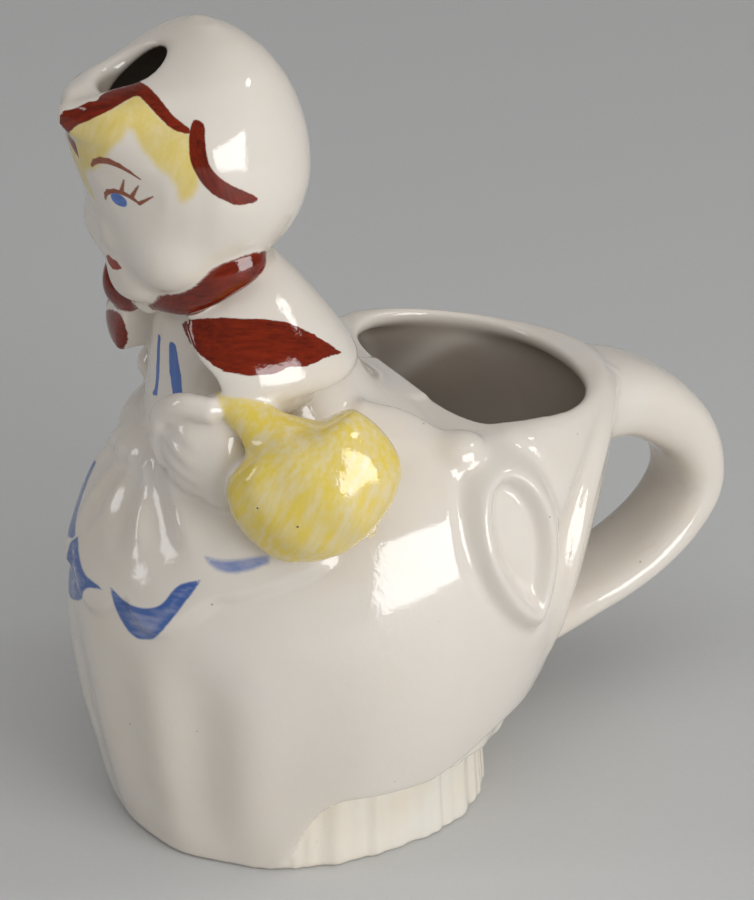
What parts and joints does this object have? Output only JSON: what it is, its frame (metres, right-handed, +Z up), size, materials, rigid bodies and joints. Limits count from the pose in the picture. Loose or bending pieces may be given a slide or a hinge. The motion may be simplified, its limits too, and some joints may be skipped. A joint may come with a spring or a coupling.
{
  "type": "figural cream jug",
  "caption": "Hollow cream jug shaped as a bonneted girl: filled through a mouth behind her shoulders, poured through the beaked brim of the bonnet, held by a strap handle.",
  "frame": {"origin": "middle of the flat foot, on the table", "axes": "+Z up; she faces -Y, with the pouring lip; the handle is at +Y; her left hand and the bag are on the +X side"},
  "size_m": [0.0772, 0.1198, 0.136],
  "materials": {
    "white_glaze": "gloss",
    "red_glaze": "gloss",
    "yellow_glaze": "gloss",
    "foot_glaze": "gloss"
  },
  "bodies": {
    "root": {"skirt_shell": "white_glaze", "bodice": "white_glaze", "head": "white_glaze", "cape": "white_glaze", "handle": "white_glaze", "apron": "white_glaze", "kerchief_left": "red_glaze", "kerchief_right": "red_glaze", "kerchief_knot": "red_glaze", "arm_left": "white_glaze", "arm_right": "white_glaze", "bag": "yellow_glaze", "sash_knot_left": "white_glaze", "sash_upper_loop_left": "white_glaze", "sash_lower_loop_left": "white_glaze", "sash_knot_right": "white_glaze", "sash_upper_loop_right": "white_glaze", "sash_lower_loop_right": "white_glaze", "petticoat_foot": "foot_glaze"}
  },
  "joints": []
}
